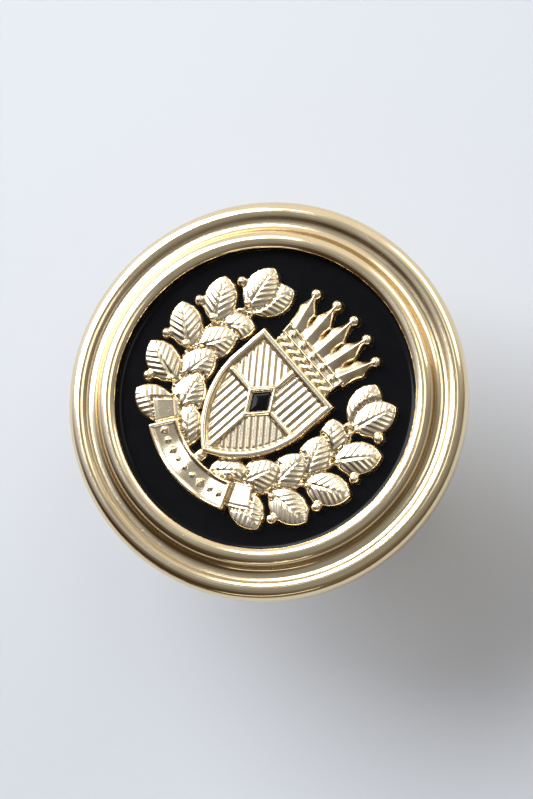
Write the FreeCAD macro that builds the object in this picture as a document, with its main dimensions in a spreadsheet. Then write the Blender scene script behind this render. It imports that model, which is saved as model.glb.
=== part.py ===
import FreeCAD, Part
import math
import os
import re
import sys
import Sketcher
from FreeCAD import Placement, Rotation, Vector

# Tie tack: a round gilt head with a black enamel field and an applied crest, a pin post, and a
# ball-locking clutch that grips the post from behind the cloth.
#
# Frame: the origin is where the post leaves the back of the head, in the plane that lies on the cloth.
# +Z points out of the face of the head and +Y is the crest's up. Lengths are millimetres, angles degrees.
# Pieces of the head are drawn by their height above that plane. The post and the clutch's pieces are
# drawn by their depth: the post's from the same plane, the clutch's from the cloth side of its plate.

DIMENSIONS = {
    # head, in section
    "rim_radius": 10.5,
    "window_radius": 7.9,
    "bead_start_height": 3.2,
    "bead_end_height": 2.95,
    "bead_radius": 0.55,
    "cove_start_radius": 8.85,
    "cove_curve": 0.6,
    "cove_end_radius": 9.55,
    "cove_end_height": 2.7,
    "outer_bead_radius": 0.62,
    "shoulder_height": 2.25,
    "skirt_height": 1.9,
    "skirt_curve": 4.0,
    "foot_radius": 9.95,
    "foot_chamfer": 0.1,
    "crimp_radius": 9.1,
    "crimp_thickness": 0.3,
    "rim_bore": 9.65,
    "ledge_height": 2.15,
    "enamel_thickness": 0.35,
    "field_radius": 9.6,
    "field_thickness": 0.6,
    "sheet_thickness": 0.5,
    "back_step_radius": 9.05,
    "packing_radius": 8.5,
    "packing_gap": 0.05,
    "packing_hole": 3.4,
    "dimple_radius": 2.7,
    "dimple_depth": 0.35,
    "pad_radius": 2.5,
    "solder_hollow": 0.06,
    # crest
    "shield_height": 0.75,
    "shield_width": 5.7,
    "shield_top": 2.4,
    "shield_shoulder": 0.0,
    "shield_tip": -4.3,
    "shield_curve": 5.4,
    "shield_border": 0.42,
    "tip_inset_ratio": 1.4,
    "shield_sink": 0.2,
    "inlay_depth": 0.25,
    "inlay_height": 1.7,
    "inlay_width": 1.3,
    "inlay_centre": -0.3,
    "coronet_height": 0.7,
    "coronet_width": 4.2,
    "coronet_base": 2.9,
    "coronet_band": 0.7,
    "coronet_reach": 2.5,
    "coronet_spread": 1.2,
    "coronet_fall": 0.14,
    "pearl_radius": 0.3,
    "torse_width": 3.6,
    "branch_radius": 4.85,
    "branch_width": 0.36,
    "branch_start": -84.0,
    "branch_end": 33.0,
    "branch_height": 0.5,
    "leaf_height": 0.6,
    "leaf_step": 0.06,
    "leaf_length": 2.65,
    "leaf_curve": 1.42,
    "short_leaf_length": 2.25,
    "short_leaf_curve": 1.21,
    "leaf_splay": 42.0,
    "end_leaf_splay": 12.0,
    "leaf_seat": 4.0,
    "ribbon_height": 0.7,
    "ribbon_inside": 4.65,
    "ribbon_outside": 6.3,
    "ribbon_half_angle": 42.0,
    "peg_radius": 0.45,
    "peg_spacing": 3.2,
    # post
    "post_radius": 0.5,
    "post_length": 8.0,
    "root_radius": 0.55,
    "root_length": 1.15,
    "root_taper": 0.6,
    "nail_head_radius": 0.85,
    "nail_head_thickness": 0.2,
    "groove_start": 5.7,
    "groove_width": 0.4,
    "groove_depth": 0.1,
    "point_start": 6.9,
    "point_radius": 0.08,
    # clutch; bend_ratio is a quarter-turn bend's radius over the size of its corner
    "bend_ratio": 1.02,
    "cloth_gap": 2.4,
    "plate_radius": 5.5,
    "plate_thickness": 0.45,
    "plate_roll": 0.55,
    "plate_depth": 0.9,
    "plate_edge": 0.35,
    "guide_radius": 0.65,
    "guide_mouth": 1.0,
    "guide_flare_depth": 0.25,
    "collar_radius": 3.95,
    "collar_bore": 3.6,
    "collar_depth": 1.3,
    "collar_lip": 0.3,
    "running_gap": 0.05,
    "barrel_radius": 3.1,
    "barrel_bore": 2.6,
    "barrel_foot_radius": 3.5,
    "barrel_foot_depth": 0.95,
    "barrel_depth": 5.8,
    "barrel_round": 0.2,
    "barrel_end_wall": 0.35,
    "barrel_hole": 1.4,
    "lip_gap": 0.1,
    "ball_radius": 0.65,
    "ball_depth": 1.75,
    "ball_play": 0.01,
    "taper_angle": 12.0,
    "cup_mouth_depth": 0.75,
    "cup_mouth_hole": 0.7,
    "cup_depth": 2.75,
    "cage_bore": 0.62,
    "cage_radius": 1.42,
    "cage_start": 0.95,
    "window_gap": 0.03,
    "flange_radius": 2.4,
    "flange_depth": 2.85,
    "flange_thickness": 0.3,
    "stem_radius": 1.3,
    "stem_depth": 6.9,
    "washer_hole": 1.5,
    "washer_radius": 2.5,
    "washer_thickness": 0.15,
    "spring_radius": 1.95,
    "spring_wire": 0.11,
    "spring_turns": 4.0,
    "spring_end_gap": 0.02,
    "knob_radius": 2.75,
    "knob_start": 5.9,
    "knob_depth": 8.4,
    "knob_end_wall": 0.35,
    "knob_chamfer": 0.25,
    "flute_radius": 0.24,
    "flute_offset": 0.1,
    "flute_count": 20,
    "cut_clearance": 0.5,
}
BALLS = 3
FIRST_BALL_ANGLE = 270
BALL_CIRCLE = "post_radius + ball_radius + ball_play"
CORONET_POINTS = 5
LEAF_STATIONS = (-60.0, -38.0, -16.0, 6.0, 28.0)
TURN = 360.0
SAME_VOLUME = 0.99999

doc = FreeCAD.newDocument("tie_tack")
sheet = doc.addObject("Spreadsheet::Sheet", "Sizes")
for row, (alias, value) in enumerate(DIMENSIONS.items(), start=1):
    sheet.set(f"A{row}", alias)
    sheet.set(f"B{row}", str(value))
    sheet.setAlias(f"B{row}", alias)
gauge = doc.addObject("App::FeaturePython", "Gauge")
gauge.addProperty("App::PropertyFloat", "Reading")
doc.recompute()


# ---- sketches whose every point is bound to the sheet ----


def bound(formula):
    """A formula in the sheet's names, spelt as the document reads it."""
    return re.sub(r"[a-z]\w+", lambda word: f"Sizes.{word[0]}" if word[0] in DIMENSIONS else word[0], formula)


def reading(formula):
    """What a formula comes to now, for the first drawing of a sketch."""
    gauge.setExpression("Reading", bound(formula))
    gauge.recompute()
    return gauge.Reading


def bind(thing, path, formula):
    thing.setExpression(path, bound(formula))


def own_origin(body, role):
    """One of the body's own origin planes or axes."""
    return next(item for item in body.Origin.OriginFeatures if item.Role == role)


def attached(body, role, name, offset=None):
    """An empty sketch on one of the body's own origin planes, raised by the offset's formula."""
    sketch = body.newObject("Sketcher::SketchObject", name)
    sketch.AttachmentSupport = [(own_origin(body, role), "")]
    sketch.MapMode = "FlatFace"
    if offset:
        bind(sketch, "AttachmentOffset.Base.z", offset)
    return sketch


def pin(sketch, geometry, vertex, x, y):
    """Holds a vertex at the formulas' distances from the sketch's origin."""
    for kind, formula, axis in (("DistanceX", x, -2), ("DistanceY", y, -1)):
        if formula == "0":
            sketch.addConstraint(Sketcher.Constraint("PointOnObject", geometry, vertex, axis))
            continue
        index = sketch.addConstraint(
            Sketcher.Constraint(kind, -1, 1, geometry, vertex, reading(formula))
        )
        sketch.setExpression(f"Constraints[{index}]", bound(formula))


def arc(start, end, radius, left):
    """The short arc from start to end that turns left or right on the way."""
    chord = end - start
    rise = math.sqrt(radius**2 - chord.Length**2 / 4)
    side = Vector(-chord.y, chord.x, 0).normalize() * (1 if left else -1)
    centre = (start + end) / 2 + side * rise
    first, last = (start, end) if left else (end, start)
    angles = [math.atan2(point.y - centre.y, point.x - centre.x) for point in (first, last)]
    return Part.ArcOfCircle(Part.Circle(centre, Vector(0, 0, 1), radius), *angles)


def outline(sketch, steps):
    """A closed outline. A step is a point's two formulas, and a third, with its turn, where an arc
    of that radius leads on to the next point: ("left", radius) or ("right", radius)."""
    points = [Vector(reading(step[0]), reading(step[1]), 0) for step in steps]
    ends = []
    for number, step in enumerate(steps):
        start, end = points[number], points[(number + 1) % len(steps)]
        if len(step) == 2:
            index = sketch.addGeometry(Part.LineSegment(start, end))
            ends.append((index, 1, 2))
            continue
        turn, radius = step[2]
        index = sketch.addGeometry(arc(start, end, reading(radius), turn == "left"))
        ends.append((index, 1, 2) if turn == "left" else (index, 2, 1))
        held = sketch.addConstraint(Sketcher.Constraint("Radius", index, reading(radius)))
        sketch.setExpression(f"Constraints[{held}]", bound(radius))
    for number, (index, first, last) in enumerate(ends):
        following, its_first, _ = ends[(number + 1) % len(ends)]
        sketch.addConstraint(Sketcher.Constraint("Coincident", index, last, following, its_first))
        pin(sketch, index, first, *steps[number][:2])


def circle(sketch, x, y, radius):
    centre = Vector(reading(x), reading(y), 0)
    index = sketch.addGeometry(Part.Circle(centre, Vector(0, 0, 1), reading(radius)))
    held = sketch.addConstraint(Sketcher.Constraint("Radius", index, reading(radius)))
    sketch.setExpression(f"Constraints[{held}]", bound(radius))
    pin(sketch, index, 3, x, y)


# ---- features ----


def new_body(name, height="0", depthwise=False):
    """A body at a height. One drawn by depth is turned over, so that its own +Z points down."""
    body = doc.addObject("PartDesign::Body", name)
    if depthwise:
        body.Placement = Placement(Vector(0, 0, 0), Rotation(Vector(1, 0, 0), 180))
    bind(body, "Placement.Base.z", height)
    return body


def turned(name, steps, height="0", depthwise=False):
    """A body turned about Z from half its section: each step is a radius and a height or depth."""
    body = new_body(name, height, depthwise)
    section = attached(body, "XZ_Plane", f"{name}_section")
    outline(section, steps)
    feature = body.newObject("PartDesign::Revolution", f"{name}_turning")
    feature.Profile = section
    feature.ReferenceAxis = (section, ["V_Axis"])
    feature.Angle = TURN
    return body


def clutch_piece(name, steps):
    return turned(name, steps, "-cloth_gap", depthwise=True)


def pad(body, sketch, height, downward=False):
    feature = body.newObject("PartDesign::Pad", f"{sketch.Name}_pad")
    feature.Profile = sketch
    bind(feature, "Length", height)
    feature.Reversed = downward
    return feature


def pocket(body, sketch, depth, upward=False):
    feature = body.newObject("PartDesign::Pocket", f"{sketch.Name}_pocket")
    feature.Profile = sketch
    bind(feature, "Length", depth)
    feature.Reversed = upward
    return feature


def repeated(body, feature, count):
    """The feature again at equal steps round the body's Z axis."""
    doc.recompute()
    pattern = body.newObject("PartDesign::PolarPattern", f"{feature.Name}_round")
    pattern.Originals = [feature]
    pattern.Axis = (own_origin(body, "Z_Axis"), [""])
    pattern.Angle = TURN
    bind(pattern, "Occurrences", count)
    body.Tip = pattern


# ---- head ----


def make_rim():
    return turned("rim", [
        ("window_radius", "ledge_height"),
        ("window_radius", "bead_start_height", ("right", "bead_radius")),
        ("cove_start_radius", "bead_end_height", ("left", "cove_curve")),
        ("cove_end_radius", "cove_end_height", ("right", "outer_bead_radius")),
        ("rim_radius", "shoulder_height"),
        ("rim_radius", "skirt_height", ("right", "skirt_curve")),
        ("foot_radius", "foot_chamfer"),
        ("foot_radius - foot_chamfer", "0"),
        ("crimp_radius", "0"),
        ("crimp_radius", "crimp_thickness"),
        ("rim_bore", "crimp_thickness"),
        ("rim_bore", "ledge_height"),
    ])


def peg_holes(body, depth):
    """Two through holes for the crest's pegs, cut down from the body's top face."""
    sketch = attached(body, "XY_Plane", f"{body.Name}_peg_holes", depth)
    for sign in ("", "-"):
        circle(sketch, "0", f"{sign}peg_spacing / 2", "peg_radius")
    pocket(body, sketch, depth)


def disc(name, radius, height, thickness):
    """A round plate whose underside is at the height."""
    return turned(name, [("0", "0"), (radius, "0"), (radius, thickness), ("0", thickness)], height)


def make_field_plate():
    body = disc("field_plate", "field_radius", "ledge_height - field_thickness", "field_thickness")
    peg_holes(body, "field_thickness")


def make_enamel():
    body = disc("enamel", "window_radius", "ledge_height", "enamel_thickness")
    peg_holes(body, "enamel_thickness")


def make_packing_disc():
    top = "ledge_height - field_thickness"
    turned("packing_disc", [
        ("packing_hole", "sheet_thickness"),
        ("packing_radius", "sheet_thickness"),
        ("packing_radius", top),
        ("packing_hole", top),
    ])


def make_back_plate():
    """Pressed sheet: a dimple for the post's pad, and a raised edge that the rim's foot rolls under."""
    flange_top = "crimp_thickness + sheet_thickness"
    dimple_top = "dimple_depth + sheet_thickness"
    turned("back_plate", [
        ("0", "dimple_depth"),
        ("dimple_radius", "dimple_depth"),
        ("dimple_radius", "0"),
        ("back_step_radius", "0"),
        ("back_step_radius", "crimp_thickness"),
        ("field_radius", "crimp_thickness"),
        ("field_radius", flange_top),
        ("packing_radius + packing_gap", flange_top),
        ("packing_radius + packing_gap", "sheet_thickness"),
        ("dimple_radius + sheet_thickness", "sheet_thickness"),
        ("dimple_radius + sheet_thickness", dimple_top),
        ("0", dimple_top),
    ])


def make_post_pad():
    seat = "dimple_depth - nail_head_thickness"
    turned("post_pad", [
        ("root_radius", "0"),
        ("pad_radius", "0"),
        ("pad_radius", "dimple_depth"),
        ("nail_head_radius", "dimple_depth"),
        ("nail_head_radius", seat),
        ("root_radius", seat),
    ])


def make_solder_ring():
    turned("solder_ring", [
        ("pad_radius", "solder_hollow"),
        ("dimple_radius", "solder_hollow"),
        ("dimple_radius", "dimple_depth"),
        ("pad_radius", "dimple_depth"),
    ])


def make_post():
    """A headed pin by depth: head, stout root, shank with one ring groove, point."""
    turned("post", [
        ("0", "-dimple_depth"),
        ("nail_head_radius", "-dimple_depth"),
        ("nail_head_radius", "nail_head_thickness - dimple_depth"),
        ("root_radius", "nail_head_thickness - dimple_depth"),
        ("root_radius", "root_length"),
        ("post_radius", "root_length + root_taper"),
        ("post_radius", "groove_start"),
        ("post_radius - groove_depth", "groove_start + groove_depth"),
        ("post_radius - groove_depth", "groove_start + groove_width - groove_depth"),
        ("post_radius", "groove_start + groove_width"),
        ("post_radius", "point_start"),
        ("point_radius", "post_length"),
        ("0", "post_length"),
    ], depthwise=True)


# ---- crest: every layer stands on the enamel, and the whole is one casting ----


def shield_steps(inset):
    """A heater shield, drawn an inset inside its edge."""
    side = f"shield_width / 2 - {inset}"
    bend = ("left", "shield_curve")
    return [
        (side, f"shield_top - {inset}"),
        (f"-({side})", f"shield_top - {inset}"),
        (f"-({side})", "shield_shoulder", bend),
        ("0", f"shield_tip + {inset} * tip_inset_ratio", bend),
        (side, "shield_shoulder"),
    ]


def lozenge_steps():
    middle, half = "inlay_centre", "inlay_height / 2"
    return [
        ("inlay_width / 2", middle),
        ("0", f"{middle} + {half}"),
        ("-inlay_width / 2", middle),
        ("0", f"{middle} - {half}"),
    ]


def coronet_tip(number):
    """Where one of the coronet's points ends: they spread, and the outer ones are lower."""
    place = number - (CORONET_POINTS - 1) / 2
    x = f"{place} * coronet_spread"
    y = f"coronet_base + coronet_band + coronet_reach - {place**2} * coronet_fall"
    return x, y


def coronet_steps():
    side, base = "coronet_width / 2", "coronet_base"
    crown = f"{base} + coronet_band"
    steps = [(f"-{side}", base), (side, base), (side, crown)]
    for number in reversed(range(CORONET_POINTS)):
        steps.append(coronet_tip(number))
        if number:
            valley = (number - CORONET_POINTS / 2) / CORONET_POINTS
            steps.append((f"{valley} * coronet_width", f"{crown} + pearl_radius"))
    steps.append((f"-{side}", crown))
    return steps


def band_steps(inside, outside, start, end):
    """A strip bent round the crest's centre, anticlockwise from start to end."""
    return [
        (f"{outside} * cos({start})", f"{outside} * sin({start})", ("left", outside)),
        (f"{outside} * cos({end})", f"{outside} * sin({end})"),
        (f"{inside} * cos({end})", f"{inside} * sin({end})", ("right", inside)),
        (f"{inside} * cos({start})", f"{inside} * sin({start})"),
    ]


def leaf_steps(station, heading, side, size="leaf"):
    """A pointed leaf on a branch: side is 1 for the right-hand branch and -1 for its mirror image."""
    bend = ("left" if side > 0 else "right", f"{size}_curve")
    root_x, root_y = f"branch_radius * cos({station})", f"branch_radius * sin({station})"
    tip_x = f"{root_x} + {size}_length * cos({heading})"
    tip_y = f"{root_y} + {size}_length * sin({heading})"
    return [(f"{side} * ({root_x})", root_y, bend), (f"{side} * ({tip_x})", tip_y, bend)]


def raised(body, name, height, steps):
    """One flat-topped layer of the crest."""
    sketch = attached(body, "XY_Plane", name)
    outline(sketch, steps)
    pad(body, sketch, height)


def make_branch(body, name, side):
    """A stem with its leaves: neighbours that lap lie a step apart in height."""
    half = "branch_width / 2"
    start, end = ("branch_start", "branch_end") if side > 0 else ("180 - branch_end", "180 - branch_start")
    steps = band_steps(f"(branch_radius - {half})", f"(branch_radius + {half})", start, end)
    raised(body, f"{name}_stem", "branch_height", steps)
    for number, station in enumerate(LEAF_STATIONS):
        steps = leaf_steps(station, f"({station} + 90 - leaf_splay)", side)
        raised(body, f"{name}_outer_leaf_{number + 1}", "leaf_height - leaf_step", steps)
    for number, station in enumerate(LEAF_STATIONS[:-1]):
        size = "short_leaf" if station == LEAF_STATIONS[-2] else "leaf"
        steps = leaf_steps(station, f"({station} + 90 + leaf_splay)", side, size)
        raised(body, f"{name}_inner_leaf_{number + 1}", f"leaf_height + {number % 2} * leaf_step", steps)
    steps = leaf_steps("(branch_end - leaf_seat)", "(branch_end + 90 - end_leaf_splay)", side)
    raised(body, f"{name}_end_leaf", "leaf_height", steps)
    steps = leaf_steps("(branch_start + leaf_seat)", "(branch_start + 90 + leaf_splay)", side, "short_leaf")
    raised(body, f"{name}_foot_leaf", "leaf_height + leaf_step", steps)


def make_crest():
    body = new_body("crest", "ledge_height + enamel_thickness")
    raised(body, "shield", "shield_height", shield_steps("0"))
    torse = "torse_width / 2"
    raised(body, "torse", "leaf_height", [
        (f"-{torse}", "shield_top - shield_border"),
        (torse, "shield_top - shield_border"),
        (torse, "coronet_base + coronet_band / 2"),
        (f"-{torse}", "coronet_base + coronet_band / 2"),
    ])
    raised(body, "coronet", "coronet_height", coronet_steps())
    pearls = attached(body, "XY_Plane", "pearls")
    for number in range(CORONET_POINTS):
        circle(pearls, *coronet_tip(number), "pearl_radius")
    pad(body, pearls, "shield_height")
    turn = "ribbon_half_angle"
    ends = (f"(270 - {turn})", f"(270 + {turn})")
    raised(body, "ribbon", "ribbon_height", band_steps("ribbon_inside", "ribbon_outside", *ends))
    neck = "branch_width"
    raised(body, "ribbon_neck", "branch_height", [
        (f"-{neck}", "-ribbon_inside - branch_width"),
        (neck, "-ribbon_inside - branch_width"),
        (neck, "shield_tip + shield_border"),
        (f"-{neck}", "shield_tip + shield_border"),
    ])
    make_branch(body, "right", 1)
    make_branch(body, "left", -1)
    pegs = attached(body, "XY_Plane", "pegs")
    for sign in ("", "-"):
        circle(pegs, "0", f"{sign}peg_spacing / 2", "peg_radius")
    pad(body, pegs, "enamel_thickness + field_thickness", downward=True)
    sunk = attached(body, "XY_Plane", "shield_field", "shield_height")
    outline(sunk, shield_steps("shield_border"))
    pocket(body, sunk, "shield_sink")
    recess = attached(body, "XY_Plane", "inlay_recess", "shield_height - shield_sink")
    outline(recess, lozenge_steps())
    pocket(body, recess, "inlay_depth")


def make_crest_inlay():
    floor = "ledge_height + enamel_thickness + shield_height - shield_sink - inlay_depth"
    body = new_body("crest_inlay", floor)
    sketch = attached(body, "XY_Plane", "inlay_shape")
    outline(sketch, lozenge_steps())
    pad(body, sketch, "inlay_depth")


# ---- clutch, by depth ----


def make_clutch_plate():
    """A dished washer that lies on the cloth, with a collar rolled over the barrel's foot."""
    inner_edge = "plate_radius - plate_edge"
    bend_start = "plate_radius - plate_roll"
    inner_roll = "(plate_roll - plate_edge)"
    clutch_piece("clutch_plate", [
        ("guide_radius", "guide_flare_depth"),
        ("guide_mouth", "0"),
        (bend_start, "0", ("left", "plate_roll * bend_ratio")),
        ("plate_radius", "plate_roll"),
        ("plate_radius", "plate_depth"),
        (inner_edge, "plate_depth"),
        (inner_edge, f"plate_thickness + {inner_roll}", ("right", f"{inner_roll} * bend_ratio")),
        (bend_start, "plate_thickness"),
        ("collar_radius", "plate_thickness"),
        ("collar_radius", "collar_depth"),
        ("barrel_radius + lip_gap", "collar_depth"),
        ("barrel_radius + lip_gap", "collar_depth - collar_lip"),
        ("collar_bore", "collar_depth - collar_lip"),
        ("collar_bore", "plate_thickness"),
        ("guide_radius", "plate_thickness"),
    ])


def make_clutch_barrel():
    foot_start = "plate_thickness + running_gap"
    inner_end = "barrel_depth - barrel_end_wall"
    clutch_piece("clutch_barrel", [
        ("barrel_bore", foot_start),
        ("barrel_foot_radius", foot_start),
        ("barrel_foot_radius", "barrel_foot_depth"),
        ("barrel_radius", "barrel_foot_depth"),
        ("barrel_radius", "barrel_depth - barrel_round", ("left", "barrel_round * bend_ratio")),
        ("barrel_radius - barrel_round", "barrel_depth"),
        ("barrel_hole", "barrel_depth"),
        ("barrel_hole", inner_end),
        ("barrel_bore", inner_end),
    ])


def cup_wall(depth):
    """The radius of the cup's tapered wall at a depth: it clears the balls by a little."""
    at_balls = f"{BALL_CIRCLE} + (ball_radius + 2 * ball_play) / cos(taper_angle)"
    return f"{at_balls} + ({depth} - ball_depth) * tan(taper_angle)"


def make_taper_cup():
    start = "plate_thickness + running_gap"
    clutch_piece("taper_cup", [
        ("cup_mouth_hole", start),
        ("barrel_bore", start),
        ("barrel_bore", "cup_depth"),
        (cup_wall("cup_depth"), "cup_depth"),
        (cup_wall("cup_mouth_depth"), "cup_mouth_depth"),
        ("cup_mouth_hole", "cup_mouth_depth"),
    ])


def make_ball_cage():
    """The carrier: a sleeve with a window for each ball, a flange for the spring, and the stem."""
    body = clutch_piece("ball_cage", [
        ("cage_bore", "cage_start"),
        ("cage_radius", "cage_start"),
        ("cage_radius", "flange_depth"),
        ("flange_radius", "flange_depth"),
        ("flange_radius", "flange_depth + flange_thickness"),
        ("stem_radius", "flange_depth + flange_thickness"),
        ("stem_radius", "stem_depth"),
        ("cage_bore", "stem_depth"),
    ])
    window = attached(body, "XZ_Plane", "ball_window")
    circle(window, "0", "ball_depth", "ball_radius + window_gap")
    cut = pocket(body, window, "cage_radius + cut_clearance")
    repeated(body, cut, str(BALLS))


def make_lock_balls():
    """The first ball is where the first window is, and the others follow it round."""
    for number in range(BALLS):
        ball = doc.addObject("Part::Sphere", f"lock_ball_{number + 1}")
        bind(ball, "Radius", "ball_radius")
        angle = FIRST_BALL_ANGLE - number * TURN / BALLS
        bind(ball, "Placement.Base.x", f"({BALL_CIRCLE}) * cos({angle})")
        bind(ball, "Placement.Base.y", f"({BALL_CIRCLE}) * sin({angle})")
        bind(ball, "Placement.Base.z", "-cloth_gap - ball_depth")


def make_clutch_spring():
    top = "flange_depth + flange_thickness + spring_end_gap + spring_wire"
    end = "barrel_depth - barrel_end_wall - washer_thickness - spring_end_gap - spring_wire"
    body = new_body("clutch_spring", "-cloth_gap", depthwise=True)
    wire = attached(body, "XZ_Plane", "spring_wire_section")
    circle(wire, "spring_radius", top, "spring_wire")
    coil = body.newObject("PartDesign::AdditiveHelix", "spring_coil")
    coil.Profile = wire
    coil.ReferenceAxis = (wire, ["V_Axis"])
    coil.Mode = "height-turns-angle"
    bind(coil, "Height", f"{end} - ({top})")
    bind(coil, "Turns", "spring_turns")


def make_spring_washer():
    seat = "barrel_depth - barrel_end_wall"
    clutch_piece("spring_washer", [
        ("washer_hole", f"{seat} - washer_thickness"),
        ("washer_radius", f"{seat} - washer_thickness"),
        ("washer_radius", seat),
        ("washer_hole", seat),
    ])


def make_knob():
    """A cap pressed on the stem, with grip flutes and a blind bore that the post's point ends in."""
    edge = "knob_radius - knob_chamfer"
    bottom = "knob_depth - knob_end_wall"
    body = clutch_piece("knob", [
        ("stem_radius", "knob_start"),
        (edge, "knob_start"),
        ("knob_radius", "knob_start + knob_chamfer"),
        ("knob_radius", "knob_depth - knob_chamfer"),
        (edge, "knob_depth"),
        ("0", "knob_depth"),
        ("0", bottom),
        ("cage_bore", bottom),
        ("cage_bore", "stem_depth"),
        ("stem_radius", "stem_depth"),
    ])
    flute = attached(body, "XY_Plane", "knob_flute")
    circle(flute, "knob_radius + flute_offset", "0", "flute_radius")
    cut = pocket(body, flute, "knob_depth + cut_clearance", upward=True)
    repeated(body, cut, "flute_count")


PIECES = (
    make_rim, make_field_plate, make_enamel, make_crest, make_crest_inlay, make_packing_disc,
    make_back_plate, make_post_pad, make_solder_ring, make_post, make_clutch_plate,
    make_clutch_barrel, make_taper_cup, make_ball_cage, make_lock_balls, make_clutch_spring,
    make_spring_washer, make_knob,
)


def faults():
    """What the document or its shapes have wrong."""
    for thing in doc.Objects:
        if {"Invalid", "Error"} & set(thing.State):
            yield f"{thing.Label} is {thing.State}"
        elif thing.isDerivedFrom("Sketcher::SketchObject") and not thing.FullyConstrained:
            yield f"{thing.Label} isn't fully constrained"
        elif thing.isDerivedFrom("PartDesign::Pocket"):
            if thing.Shape.Volume > thing.BaseFeature.Shape.Volume * SAME_VOLUME:
                yield f"{thing.Label} cuts nothing"
    for piece in sub_parts():
        if piece.Shape.isNull() or not piece.Shape.isValid():
            yield f"{piece.Label} has no valid shape"
        elif len(piece.Shape.Solids) != 1:
            yield f"{piece.Label} is {len(piece.Shape.Solids)} solids"


def sub_parts():
    return [item for item in doc.Objects if item.TypeId in ("PartDesign::Body", "Part::Sphere")]


for make in PIECES:
    make()
doc.recompute()
problems = list(faults())
if problems:
    sys.exit("\n".join(problems))
os.makedirs("parts", exist_ok=True)
for piece in sub_parts():
    piece.Shape.exportStep(f"parts/{piece.Label}.step")
print(len(sub_parts()), "sub-parts written")
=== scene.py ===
import math
import bmesh
import bpy
import numpy as np
from mathutils import Matrix, Vector


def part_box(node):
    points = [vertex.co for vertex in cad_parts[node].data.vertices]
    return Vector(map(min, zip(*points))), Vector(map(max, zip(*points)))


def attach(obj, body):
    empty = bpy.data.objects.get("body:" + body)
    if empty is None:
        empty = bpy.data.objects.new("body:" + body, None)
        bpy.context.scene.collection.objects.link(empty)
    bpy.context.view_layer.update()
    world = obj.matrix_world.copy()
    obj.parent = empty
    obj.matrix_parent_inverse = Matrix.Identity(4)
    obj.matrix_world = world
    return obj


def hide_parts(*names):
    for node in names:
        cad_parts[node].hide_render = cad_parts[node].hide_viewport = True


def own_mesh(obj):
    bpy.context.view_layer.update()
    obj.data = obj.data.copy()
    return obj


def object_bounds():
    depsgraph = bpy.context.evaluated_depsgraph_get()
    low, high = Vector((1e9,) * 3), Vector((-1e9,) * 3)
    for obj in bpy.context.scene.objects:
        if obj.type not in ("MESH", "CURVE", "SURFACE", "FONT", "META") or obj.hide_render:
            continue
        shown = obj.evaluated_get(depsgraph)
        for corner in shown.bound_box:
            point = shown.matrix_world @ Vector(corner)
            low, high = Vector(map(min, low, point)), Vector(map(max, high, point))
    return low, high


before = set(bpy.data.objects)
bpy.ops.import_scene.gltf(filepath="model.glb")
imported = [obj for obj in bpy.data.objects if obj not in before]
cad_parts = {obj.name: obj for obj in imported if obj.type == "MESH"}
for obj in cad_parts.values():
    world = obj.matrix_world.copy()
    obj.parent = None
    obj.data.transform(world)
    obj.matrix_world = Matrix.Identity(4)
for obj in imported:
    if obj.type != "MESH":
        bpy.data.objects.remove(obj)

# Tie tack: the looks of a gilt, black-enamelled head with an applied crest, its post and its clutch.
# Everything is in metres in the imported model's frame: +Z out of the face, +Y the crest's up, and the
# origin where the post leaves the head. The crest is drawn in millimetres above the enamel.

CAD_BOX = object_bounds()
MM = 0.001
FINE = 384  # steps round the head's pieces
MEDIUM = 256  # steps round the clutch's pieces
SMALL = 96  # steps round the post


def radius_of(node):
    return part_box(node)[1].x


def low(node):
    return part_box(node)[0].z


def high(node):
    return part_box(node)[1].z


# ---- camera, lights and floor ----

TO_CAMERA = Vector((0.241, 0.02, 0.97)).normalized()
IMAGE_UP = Vector((-0.766, 0.643, 0.0))
HEAD_SHARE = 0.76  # of the picture's width
LENS = 200.0
SENSOR = 24.0


def facing(direction, up):
    """A rotation whose own Z lies along the direction, with its Y as near up as can be."""
    across = up.cross(direction).normalized()
    return Matrix((across, direction.cross(across), direction)).transposed()


VIEW = facing(TO_CAMERA, IMAGE_UP)


def in_view(right, up, out):
    """A direction given by the picture's right and up, and out towards the camera."""
    return (VIEW @ Vector((right, up, out))).normalized()


def make_camera():
    target = Vector((0.0, 0.0, high("enamel")))
    head = 2 * radius_of("rim")
    distance = head * LENS / (SENSOR * HEAD_SHARE)
    data = bpy.data.cameras.new("camera")
    data.lens = LENS
    data.sensor_fit = "HORIZONTAL"
    data.sensor_width = SENSOR
    data.clip_start = 0.01
    camera = bpy.data.objects.new("camera", data)
    camera.matrix_world = Matrix.Translation(target + TO_CAMERA * distance) @ VIEW.to_4x4()
    bpy.context.scene.collection.objects.link(camera)
    bpy.context.scene.camera = camera


def make_softbox(name, direction, distance, size, power, colour=(1.0, 1.0, 1.0)):
    data = bpy.data.lights.new(name, "AREA")
    data.shape = "RECTANGLE"
    data.size, data.size_y = size
    data.energy = power
    data.color = colour
    light = bpy.data.objects.new(name, data)
    aim = Vector((0.0, 0.0, high("enamel")))
    turn = facing(direction, VIEW @ Vector((0.0, 1.0, 0.0)))
    light.matrix_world = Matrix.Translation(aim + direction * distance) @ turn.to_4x4()
    bpy.context.scene.collection.objects.link(light)


def make_lights():
    make_softbox("key", in_view(-0.90, 0.85, 0.7), 0.42, (0.34, 0.30), 2.3, (0.94, 0.97, 1.0))
    make_softbox("top", in_view(0.15, 0.30, 1.0), 0.60, (0.16, 0.30), 0.25, (1.0, 0.98, 0.95))
    make_softbox("side", in_view(0.60, 0.75, 0.45), 0.45, (0.12, 0.30), 0.40, (1.0, 0.98, 0.95))
    make_softbox("back", in_view(-0.2, -0.95, 0.45), 0.50, (0.30, 0.08), 0.10, (1.0, 0.97, 0.92))


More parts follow.
